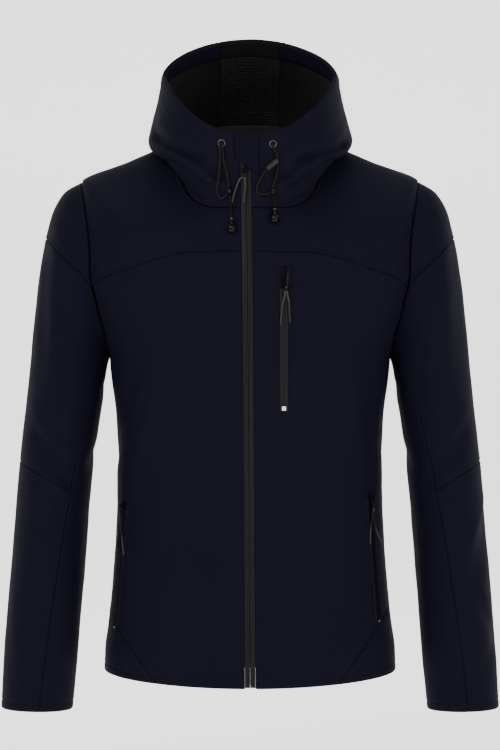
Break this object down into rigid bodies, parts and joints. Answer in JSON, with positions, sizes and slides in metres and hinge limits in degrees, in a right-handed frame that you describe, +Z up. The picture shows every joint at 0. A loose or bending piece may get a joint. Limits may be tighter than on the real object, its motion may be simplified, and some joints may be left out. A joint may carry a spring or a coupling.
{
  "type": "softshell jacket",
  "caption": "Zipped softshell jacket with a stand-up hood, drawcords, a chest pocket and two hand pockets, held open as if worn.",
  "frame": {"origin": "centre of the neck opening, level with the two side neck points, where the wearer's neck holds the jacket", "axes": "+Z up; the front faces -Y; the wearer's left is +X"},
  "size_m": [0.646, 0.2955, 0.8767],
  "materials": {
    "softshell": "matt woven softshell, very dark navy",
    "facing_black": "matt black fleece",
    "zip_laminate": "satin dark grey laminate",
    "pull_black": "satin black coated metal",
    "pull_cord": "braided cord",
    "drawcord": "braided taupe cord",
    "tail_cord": "braided dark cord",
    "lock_taupe": "matt moulded plastic",
    "lock_black": "glossy moulded plastic",
    "toggle_black": "glossy moulded plastic",
    "eyelet_metal": "dark gunmetal",
    "reflective": "satin white"
  },
  "bodies": {
    "root": {"front_body_left": "softshell", "front_yoke_left": "softshell", "side_panel_left": "softshell", "sleeve_cap_left": "softshell", "sleeve_upper_left": "softshell", "sleeve_forearm_left": "softshell", "sleeve_under_left": "softshell", "hood_side_left": "softshell", "front_body_right": "softshell", "front_yoke_right": "softshell", "side_panel_right": "softshell", "sleeve_cap_right": "softshell", "sleeve_upper_right": "softshell", "sleeve_forearm_right": "softshell", "sleeve_under_right": "softshell", "hood_side_right": "softshell", "back_body": "softshell", "back_yoke": "softshell", "hood_centre": "softshell", "hood_facing_left": "softshell", "hood_facing_centre": "facing_black", "hood_facing_right": "softshell", "zip_half_left": "zip_laminate", "zip_half_right": "zip_laminate", "chin_guard": "softshell", "main_slider": "pull_black", "chest_zip": "zip_laminate", "chest_garage": "pull_black", "chest_slider": "pull_black", "chest_stop": "reflective", "hand_left_zip": "zip_laminate", "hand_left_slider": "pull_black", "hand_right_zip": "zip_laminate", "hand_right_slider": "pull_black", "eyelet_right": "eyelet_metal", "eyelet_left": "eyelet_metal", "drawcord_right": "drawcord", "drawcord_right_back": "drawcord", "cord_tail_right": "tail_cord", "drawcord_left": "drawcord", "drawcord_left_back": "drawcord", "cord_tail_left": "tail_cord", "cord_lock_right": "lock_black", "cord_lock_left": "lock_taupe", "cord_ring_left": "lock_black", "toggle_right": "toggle_black", "toggle_left": "toggle_black"},
    "pull_main": {"main_pull_tab": "pull_black", "main_pull_cord_1": "pull_cord", "main_pull_cord_2": "pull_cord"},
    "pull_chest": {"chest_pull_tab": "pull_black", "chest_pull_cord_1": "pull_cord", "chest_pull_cord_2": "pull_cord"},
    "pull_hand_left": {"hand_left_pull_tab": "pull_black", "hand_left_pull_cord_1": "pull_cord", "hand_left_pull_cord_2": "pull_cord"},
    "pull_hand_right": {"hand_right_pull_tab": "pull_black", "hand_right_pull_cord_1": "pull_cord", "hand_right_pull_cord_2": "pull_cord"}
  },
  "joints": [
    {"name": "pull_main_hinge", "type": "hinge", "parent": "root", "child": "pull_main", "pos_m": [-0.00649, -0.11699, -0.04636], "axis": [-0.9997, 0.0229, 0], "range_deg": [0, 100]},
    {"name": "pull_chest_hinge", "type": "hinge", "parent": "root", "child": "pull_chest", "pos_m": [0.04497, -0.13213, -0.17529], "axis": [-0.9979, -0.0645, 0], "range_deg": [0, 120]},
    {"name": "pull_hand_left_hinge", "type": "hinge", "parent": "root", "child": "pull_hand_left", "pos_m": [0.15658, -0.06818, -0.46107], "axis": [-0.5943, -0.8043, 0], "range_deg": [0, 110]},
    {"name": "pull_hand_right_hinge", "type": "hinge", "parent": "root", "child": "pull_hand_right", "pos_m": [-0.16491, -0.05511, -0.4709], "axis": [-0.4705, 0.8824, 0], "range_deg": [0, 110]}
  ]
}
